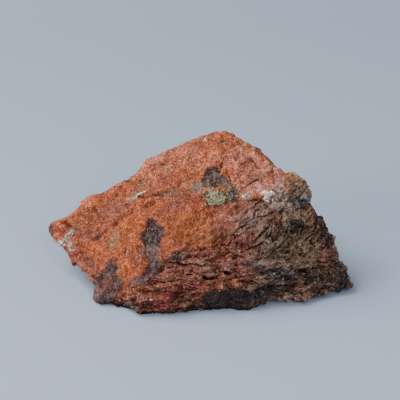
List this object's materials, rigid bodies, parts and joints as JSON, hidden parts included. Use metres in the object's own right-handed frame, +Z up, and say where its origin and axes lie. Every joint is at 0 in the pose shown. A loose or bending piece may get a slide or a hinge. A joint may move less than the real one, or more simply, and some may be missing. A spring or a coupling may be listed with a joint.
{
  "type": "rough nuummite stone",
  "caption": "Wedge-shaped rough hand specimen of nuummite with a smooth rust-coloured weathering rind above and a coarse fibrous break below, resting on a flat sole.",
  "frame": {"origin": "middle of the stone's box, on the surface that it rests on", "axes": "+X to the right along the stone's length, +Y away from the viewer towards the back, +Z up"},
  "size_m": [0.0862, 0.0518, 0.0378],
  "materials": {
    "weathered_stone": "matte rust-orange to pink weathering rind, with a rough brown-black break of interlocking laths below it"
  },
  "bodies": {
    "root": {"nuummite": "weathered_stone"}
  },
  "joints": []
}
